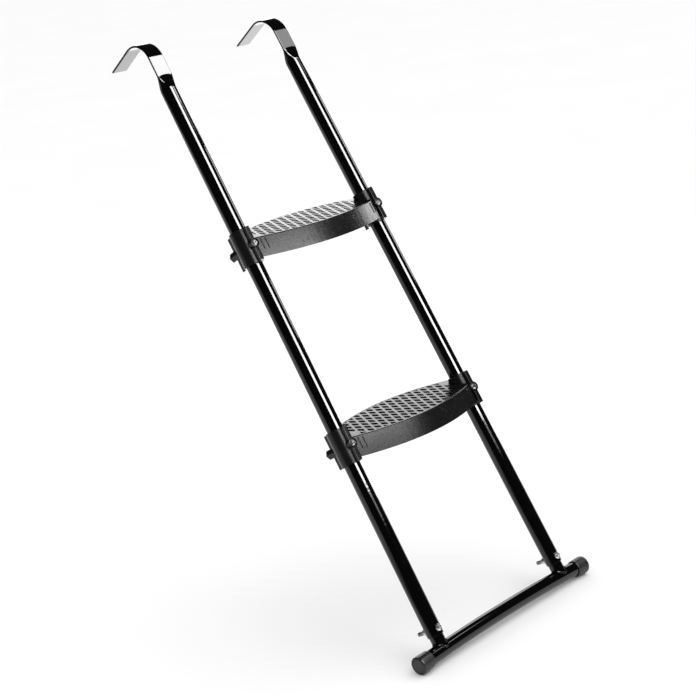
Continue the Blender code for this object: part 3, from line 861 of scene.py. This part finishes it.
def tread_shell(tread):
    """Tread and skirt: the lattice carried out over a rounded edge, down the skirt and back up inside it."""
    steps = tread.steps
    rails = bpy.context.scene.ladder_rails
    touch = bpy.context.scene.ladder_layout.touch
    sleeve = rails.tube / 2 + touch + steps.barrel_wall
    inset = steps.margin - steps.band
    trim = sleeve + touch
    mesh = lattice(tread, inset, trim)
    bmesh.ops.recalc_face_normals(mesh, faces=mesh.faces)
    if sum(face.normal.z for face in mesh.faces) < 0:
        bmesh.ops.reverse_faces(mesh, faces=mesh.faces)
    share = mesh.verts.layers.float.new("share")
    ratio = mesh.verts.layers.float.new("ratio")
    sink_pockets(mesh, steps)
    edges = [edge for edge in mesh.edges if edge.is_boundary]
    for vertex in {vertex for edge in edges for vertex in edge.verts}:
        x, y = vertex.co.x, vertex.co.y
        vertex[share] = x / (tread.half - trim)
        vertex[ratio] = y / (tread.depth(x, y > 0) - inset)
    soft = steps.edge
    hollow = sleeve + steps.end_inset
    bottom = -steps.skirt
    lip = steps.skirt_wall / 5
    levels = [
        (soft, 0.0, 0.0),
        (soft * 0.3, 0.0, -soft * 0.3),
        (0.0, 0.0, -soft),
        (0.0, 0.0, bottom + lip),
        (lip * 0.3, 0.0, bottom + lip * 0.3),
        (lip, 0.0, bottom),
        (steps.skirt_wall - lip, hollow - lip, bottom),
        (steps.skirt_wall, hollow, bottom + lip),
        (steps.skirt_wall, hollow, -steps.plate),
    ]
    for level_inset, level_trim, height in levels:
        verts, edges = drawn(mesh, edges)
        for vertex in verts:
            x = vertex[share] * (tread.half - level_trim)
            depth = tread.depth(x, vertex[ratio] > 0) - level_inset
            vertex.co = (x, vertex[ratio] * depth, height)
    close_ring(mesh, edges)
    return mesh


def add_ribs(mesh, tread, count=5):
    """A spine and cross ribs under the tread."""
    steps = tread.steps
    thick = steps.rib / 2
    top = -steps.plate * 0.7
    reach = tread.half - steps.end_inset * 3
    put_in(mesh, block((-reach, -thick, top - steps.rib_drop * 0.8), (reach, thick, top), RIB_SOFT))
    for index in range(count):
        x = reach * (2 * (index + 1) / (count + 1) - 1)
        front = steps.skirt_wall / 2 - tread.depth(x, False)
        rear = tread.depth(x, True) - steps.skirt_wall / 2
        put_in(mesh, block((x - thick, front, top - steps.rib_drop), (x + thick, rear, top), RIB_SOFT))


def add_skirt_ribs(mesh, tread):
    """Two slim upright ribs at each end of the skirt's front."""
    steps = tread.steps
    half = steps.skirt_rib / 2
    bottom = -steps.skirt * SKIRT_RIB_SHARE
    top = -steps.edge * 2
    for side in (-1, 1):
        for offset in (steps.skirt_rib_first, steps.skirt_rib_first + steps.skirt_rib_gap):
            x = side * (tread.axis_x - offset)
            face = -tread.depth(x, False)
            low = (x - half, face - steps.skirt_rib_proud, bottom)
            put_in(mesh, block(low, (x + half, face + steps.skirt_rib_root, top), RIB_SOFT))


def sleeve_mesh(low, high, rails, steps, touch):
    """The barrel of a step round its rail, with a rib down its front and one down its back."""
    bore = rails.tube / 2 + touch
    outer = bore + steps.barrel_wall
    soft = steps.barrel_wall / 4
    profile = [
        (bore, low + soft),
        (bore + soft, low),
        (outer - soft, low),
        (outer - soft * 0.3, low + soft * 0.3),
        (outer, low + soft),
        (outer, high - soft),
        (outer - soft * 0.3, high - soft * 0.3),
        (outer - soft, high),
        (bore + soft, high),
        (bore, high - soft),
    ]
    mesh = turned(profile, 64, closed=True)
    half = steps.blade / 2
    root = bore + steps.barrel_wall * 0.3
    low += steps.blade_short
    high -= steps.blade_short
    front = block((-half, -outer - steps.front_blade, low), (half, -root, high), BLADE_SOFT)
    rear = block((-half, root, low), (half, outer + steps.rear_blade, high), BLADE_SOFT)
    put_in(mesh, front)
    put_in(mesh, rear)
    return mesh


def collar_mesh(front, steps, fasteners, touch):
    """The ring round a bolt's head."""
    bore = fasteners.head / 2 + touch
    outer = bore + steps.collar_wall
    face = -front - steps.collar
    soft = steps.collar_wall / 4
    profile = [
        (bore, -front * 0.7),
        (bore, face + soft),
        (bore + soft, face),
        (outer - soft * 1.5, face),
        (outer - soft * 0.4, face + soft * 0.4),
        (outer, face + soft * 1.5),
        (outer, -front * 0.7),
    ]
    return turned(profile, 40, closed=True)


def boss_mesh(rear, steps, fasteners, touch):
    """The six-sided boss round a nut, with its open pocket."""
    mesh = bmesh.new()
    pocket = fasteners.nut + 2 * touch
    outside = pocket + 2 * steps.boss_wall
    reach = rear + steps.boss
    floor = reach - fasteners.nut_height - 2 * steps.boss_wall
    first = ring(mesh, outside / math.sqrt(3), rear * 0.62, 6, math.radians(30))
    scale = outside / math.sqrt(3)
    inner = pocket / math.sqrt(3)
    soft = 0.0005
    edges = turned_on(
        mesh, first, [(scale, reach - soft), (scale - soft, reach), (inner + soft, reach), (inner, reach - soft)]
    )
    edges = turned_on(mesh, edges, [(inner, floor)])
    close_ring(mesh, edges)
    close_ring(mesh, first)
    return mesh


def step_mesh(name):
    scene = bpy.context.scene
    steps = scene.ladder_steps
    rails = scene.ladder_rails
    fasteners = scene.ladder_fasteners
    touch = scene.ladder_layout.touch
    tread = Tread(name, steps)
    mesh = tread_shell(tread)
    add_ribs(mesh, tread)
    add_skirt_ribs(mesh, tread)
    mesh.transform(tread.place())
    outer = rails.tube / 2 + touch + steps.barrel_wall
    for side in SIDES:
        rise = bolt_rise(f"{name}_step", side)
        sleeve_half = sleeve_reach(name, side)
        barrel = sleeve_mesh(rise - sleeve_half, rise + sleeve_half, rails, steps, touch)
        put_in(mesh, barrel, rail_frame(side))
        place = bolt_frame(f"{name}_step", side)
        put_in(mesh, collar_mesh(outer + steps.front_blade, steps, fasteners, touch), place)
        put_in(mesh, boss_mesh(outer + steps.rear_blade, steps, fasteners, touch), place)
    return mesh


def sleeve_reach(name, side):
    """Half the length of a sleeve: the solid reaches as far above its bolt as the sleeve does, at the rail."""
    to_world = rail_frame(side)
    back = to_world.inverted()
    outer = bpy.context.scene.ladder_rails.tube
    rises = []
    for vertex in frame["nodes"][f"{name}_step"].data.vertices:
        point = back @ vertex.co
        if Vector((point.x, point.y)).length < outer:
            rises.append(point.z)
    return (max(rises) - min(rises)) / 2


class OBJECT_OT_ladder_steps(Operator):
    """Make the moulded steps with their lattice treads, skirts, sleeves, collars and nut bosses"""

    bl_idname = "ladder.steps"
    bl_label = "Steps"

    def execute(self, context):
        plastic = kept("satin_step_plastic", make_step_plastic)
        for name in STEPS:
            show(f"{name}_step_moulding", step_mesh(name), IDENTITY, plastic, [f"{name}_step"], 30)
        return {"FINISHED"}


# ---- Fasteners ----


def bolt_mesh(head_top, end, fasteners, threaded_from):
    """A button-head bolt along Z: a domed head with a socket, a shank and a thread at its end."""
    mesh = bmesh.new()
    head = fasteners.head / 2
    tall = fasteners.head_height
    seat = head_top + tall
    socket = fasteners.socket / math.sqrt(3)
    crown = ring(mesh, head * 0.55, head_top, 36)
    rim = 0.0003
    turns = (0.75, 0.95, 1.15, 1.35, 1.5)
    dome = [(head * math.sin(turn), seat - rim - (tall - rim) * math.cos(turn)) for turn in turns]
    radius = fasteners.bolt / 2
    shank = [(head, seat - rim), (head - rim / 3, seat), (radius, seat), (radius, threaded_from)]
    edges = turned_on(mesh, crown, dome + shank)
    for index in range(int((end - threaded_from) / fasteners.thread)):
        start = threaded_from + index * fasteners.thread
        root = radius - fasteners.thread_depth
        edges = turned_on(
            mesh,
            edges,
            [
                (root, start + fasteners.thread * 0.30),
                (root, start + fasteners.thread * 0.45),
                (radius, start + fasteners.thread * 0.80),
                (radius, start + fasteners.thread * 0.95),
            ],
        )
    edges = turned_on(mesh, edges, [(radius - fasteners.thread_depth, end - 0.0002), (radius * 0.72, end)])
    close_ring(mesh, edges)
    mouth = ring(mesh, socket, head_top, 6, math.radians(30))
    bmesh.ops.bridge_loops(mesh, edges=crown + mouth)
    floor = turned_on(mesh, mouth, [(socket, head_top + fasteners.socket_depth)])
    close_ring(mesh, floor)
    return mesh


def nut_mesh(seat, fasteners):
    """A six-sided nut with softened corners and a chamfered hole."""
    mesh = bmesh.new()
    across = fasteners.nut / math.sqrt(3)
    hole = fasteners.bolt / 2 + 0.0002
    end = seat + fasteners.nut_height
    soft = 0.0004
    edges = ring(mesh, hole + soft, seat, 36)
    start = edges
    edges = turned_on(mesh, edges, [(hole, seat + soft), (hole, end - soft), (hole + soft, end)])
    outside = ring(mesh, across, seat, 6, math.radians(30))
    upright = turned_on(mesh, outside, [(across, end)])
    bmesh.ops.bridge_loops(mesh, edges=start + outside)
    bmesh.ops.bridge_loops(mesh, edges=edges + upright)
    hexagon = [
        edge for edge in mesh.edges if all(Vector(v.co.xy).length > across * 0.98 for v in edge.verts)
    ]
    soften(mesh, hexagon, soft)
    return mesh


class OBJECT_OT_ladder_fasteners(Operator):
    """Make the button-head bolts and the nuts"""

    bl_idname = "ladder.fasteners"
    bl_label = "Bolts and Nuts"

    def execute(self, context):
        fasteners = context.scene.ladder_fasteners
        zinc = kept("bright_zinc_plate", make_zinc)
        for side in SIDES:
            for name in ("foot", "upper_step", "lower_step"):
                place = bolt_frame(name, side)
                low, high = box_in(f"{name}_bolt_{side}", place)
                seat = box_in(f"{name}_nut_{side}", place)[0].z
                bolt = bolt_mesh(low.z, high.z, fasteners, seat)
                show(f"{name}_bolt_zinc_{side}", bolt, place, zinc, [f"{name}_bolt_{side}"], 30)
                nut = nut_mesh(seat, fasteners)
                show(f"{name}_nut_zinc_{side}", nut, place, zinc, [f"{name}_nut_{side}"], 30)
        return {"FINISHED"}


# ---- Stage ----


FRONT = (0.085, -0.840, 0.520)
UNDER = (0.0, 0.0, -1.0)
ROOM_STRENGTH = 0.92
GLOSS_ROOM_STRENGTH = 0.025
SKY_STRENGTH = 0.8
SKY_SPREAD = 60.0
# Name, target (a height up the rails or a point), direction, distance, width, height, radiance,
# and whether the light is kept to the steps (INCLUDE) or away from them (EXCLUDE).
SOFTBOXES = (
    ("strip", 0.90, FRONT, 2.2, 1.1, 1.5, 26.0, "EXCLUDE"),
    ("strip_tail", 0.30, FRONT, 2.2, 0.9, 0.5, 2.8, "EXCLUDE"),
    ("strap_light", 0.95, (0.590, -0.5225, 0.6175), 2.27, 0.34, 0.26, 20.0, None),
    ("strap_fill", 0.95, (0.715, -0.451, 0.534), 2.30, 0.26, 0.26, 5.0, None),
    ("edge_light", 0.86, (0.997, -0.140, 0.173), 2.2, 0.45, 0.60, 8.0, None),
    ("step_key", 0.60, FRONT, 2.2, 2.2, 0.6, 13.0, "INCLUDE"),
    ("front_glow", (1.4, -2.1, 0.02), UNDER, 0.01, 3.2, 1.5, 2.4, "INCLUDE"),
    ("back_wall", 0.45, (0.66, 0.72, 0.26), 2.6, 2.4, 1.0, 2.9, None),
    ("low_glow", (1.0, 1.2, 0.02), UNDER, 0.01, 1.2, 1.4, 2.8, None),
)


def add_light(name, data, matrix, diffuse=True, glossy=True):
    light = bpy.data.objects.new(name, data)
    bpy.context.scene.collection.objects.link(light)
    light.matrix_world = matrix
    light.visible_diffuse = diffuse
    light.visible_glossy = glossy
    light.visible_camera = False
    return light


def add_softbox(name, target, direction, distance, width, height, radiance):
    """A rectangular light seen only in gloss. It stands square to its direction from the target."""
    lean = bpy.context.scene.ladder_layout.lean
    back = Vector(direction).normalized()
    across = Vector((0.0, math.sin(lean), math.cos(lean))).cross(back).normalized()
    up = back.cross(across)
    data = bpy.data.lights.new(name, "AREA")
    data.shape = "RECTANGLE"
    data.size = width
    data.size_y = height
    data.energy = radiance * math.pi * width * height
    turn = Matrix((across, up, back)).transposed().to_4x4()
    place = Matrix.Translation(Vector(target) + back * distance) @ turn
    return add_light(name, data, place, diffuse=False)


def share_light(light, pieces, state):
    """Keeps a light to some pieces (INCLUDE), or away from them (EXCLUDE)."""
    group = bpy.data.collections.new(light.name + "_pieces")
    for piece in pieces:
        group.objects.link(piece)
    for entry in group.collection_objects:
        entry.light_linking.link_state = state
    light.light_linking.receiver_collection = group


def add_sky_light(strength, spread):
    """A broad even light from above, which gives the floor its soft shadows."""
    data = bpy.data.lights.new("sky", "SUN")
    data.energy = strength
    data.angle = math.radians(spread)
    turn = Matrix.Rotation(math.radians(25), 4, "Y") @ Matrix.Rotation(math.radians(15), 4, "X")
    add_light("sky", data, turn, glossy=False)


def add_camera(stage):
    forward = Vector(
        (
            math.sin(stage.azimuth) * math.cos(stage.elevation),
            math.cos(stage.azimuth) * math.cos(stage.elevation),
            -math.sin(stage.elevation),
        )
    )
    level = forward.cross(Vector((0.0, 0.0, 1.0))).normalized()
    upright = level.cross(forward)
    right = level * math.cos(stage.roll) + upright * math.sin(stage.roll)
    up = upright * math.cos(stage.roll) - level * math.sin(stage.roll)
    data = bpy.data.cameras.new("camera")
    data.sensor_width = 36.0
    data.lens = stage.lens
    data.clip_end = 500.0
    camera = bpy.data.objects.new("camera", data)
    bpy.context.scene.collection.objects.link(camera)
    turn = Matrix((right, up, -forward)).transposed().to_4x4()
    camera.matrix_world = Matrix.Translation(Vector(stage.aim) - forward * stage.distance) @ turn
    bpy.context.scene.camera = camera


def add_floor(stage):
    mesh = bmesh.new()
    bmesh.ops.create_grid(mesh, x_segments=8, y_segments=8, size=stage.floor)
    data = bpy.data.meshes.new("floor")
    mesh.to_mesh(data)
    mesh.free()
    data.materials.append(kept("pale_floor", make_floor))
    floor = bpy.data.objects.new("floor", data)
    bpy.context.scene.collection.objects.link(floor)


def add_world():
    """White room light for the view and for matt surfaces, and a dark room for gloss to reflect."""
    world = bpy.data.worlds.new("studio")
    world.use_nodes = True
    bpy.context.scene.world = world
    tree = world.node_tree
    room = tree.nodes["Background"]
    room.inputs["Color"].default_value = (1.0, 1.0, 1.0, 1.0)
    room.inputs["Strength"].default_value = ROOM_STRENGTH
    dark = tree.nodes.new("ShaderNodeBackground")
    dark.inputs["Color"].default_value = (1.0, 1.0, 1.0, 1.0)
    dark.inputs["Strength"].default_value = GLOSS_ROOM_STRENGTH
    ray = tree.nodes.new("ShaderNodeLightPath")
    mix = tree.nodes.new("ShaderNodeMixShader")
    tree.links.new(ray.outputs["Is Glossy Ray"], mix.inputs["Fac"])
    tree.links.new(room.outputs["Background"], mix.inputs[1])
    tree.links.new(dark.outputs["Background"], mix.inputs[2])
    tree.links.new(mix.outputs["Shader"], tree.nodes["World Output"].inputs["Surface"])


class OBJECT_OT_ladder_stage(Operator):
    """Set the floor, the soft lights and the camera"""

    bl_idname = "ladder.stage"
    bl_label = "Stage"

    def execute(self, context):
        stage = context.scene.ladder_stage
        lean = context.scene.ladder_layout.lean
        up = Vector((0.0, math.sin(lean), math.cos(lean)))
        add_floor(stage)
        add_world()
        add_sky_light(SKY_STRENGTH, SKY_SPREAD)
        mouldings = [piece for piece in bpy.data.objects if piece.name.endswith("step_moulding")]
        for name, target, direction, distance, width, height, radiance, steps in SOFTBOXES:
            point = up * target if isinstance(target, float) else target
            light = add_softbox(name, point, direction, distance, width, height, radiance)
            if steps:
                share_light(light, mouldings, steps)
        add_camera(stage)
        context.scene.view_settings.view_transform = "Standard"
        return {"FINISHED"}


class VIEW3D_PT_ladder(Panel):
    """Sidebar panel with the ladder's operators"""

    bl_label = "Hook-on Ladder"
    bl_idname = "VIEW3D_PT_ladder"
    bl_space_type = "VIEW_3D"
    bl_region_type = "UI"
    bl_category = "Ladder"

    def draw(self, context):
        for operator in OPERATORS:
            self.layout.operator(operator.bl_idname)


GROUPS = {
    "ladder_layout": LadderLayout,
    "ladder_rails": LadderRails,
    "ladder_foot": LadderFoot,
    "ladder_steps": LadderSteps,
    "ladder_fasteners": LadderFasteners,
    "ladder_finishes": LadderFinishes,
    "ladder_stage": LadderStage,
}

OPERATORS = (
    OBJECT_OT_ladder_upper_rails,
    OBJECT_OT_ladder_lower_rails,
    OBJECT_OT_ladder_foot_tube,
    OBJECT_OT_ladder_spigots,
    OBJECT_OT_ladder_end_caps,
    OBJECT_OT_ladder_steps,
    OBJECT_OT_ladder_fasteners,
    OBJECT_OT_ladder_stage,
)


def register():
    for name, group in GROUPS.items():
        bpy.utils.register_class(group)
        setattr(bpy.types.Scene, name, PointerProperty(type=group))
    for operator in OPERATORS:
        bpy.utils.register_class(operator)
    bpy.utils.register_class(VIEW3D_PT_ladder)


def unregister():
    bpy.utils.unregister_class(VIEW3D_PT_ladder)
    for operator in reversed(OPERATORS):
        bpy.utils.unregister_class(operator)
    for name, group in GROUPS.items():
        delattr(bpy.types.Scene, name)
        bpy.utils.unregister_class(group)


def main():
    register()
    bpy.ops.ladder.upper_rails()
    bpy.ops.ladder.lower_rails()
    bpy.ops.ladder.foot_tube()
    bpy.ops.ladder.spigots()
    bpy.ops.ladder.end_caps()
    bpy.ops.ladder.steps()
    bpy.ops.ladder.fasteners()
    bpy.ops.ladder.stage()


if __name__ == "__main__":
    main()
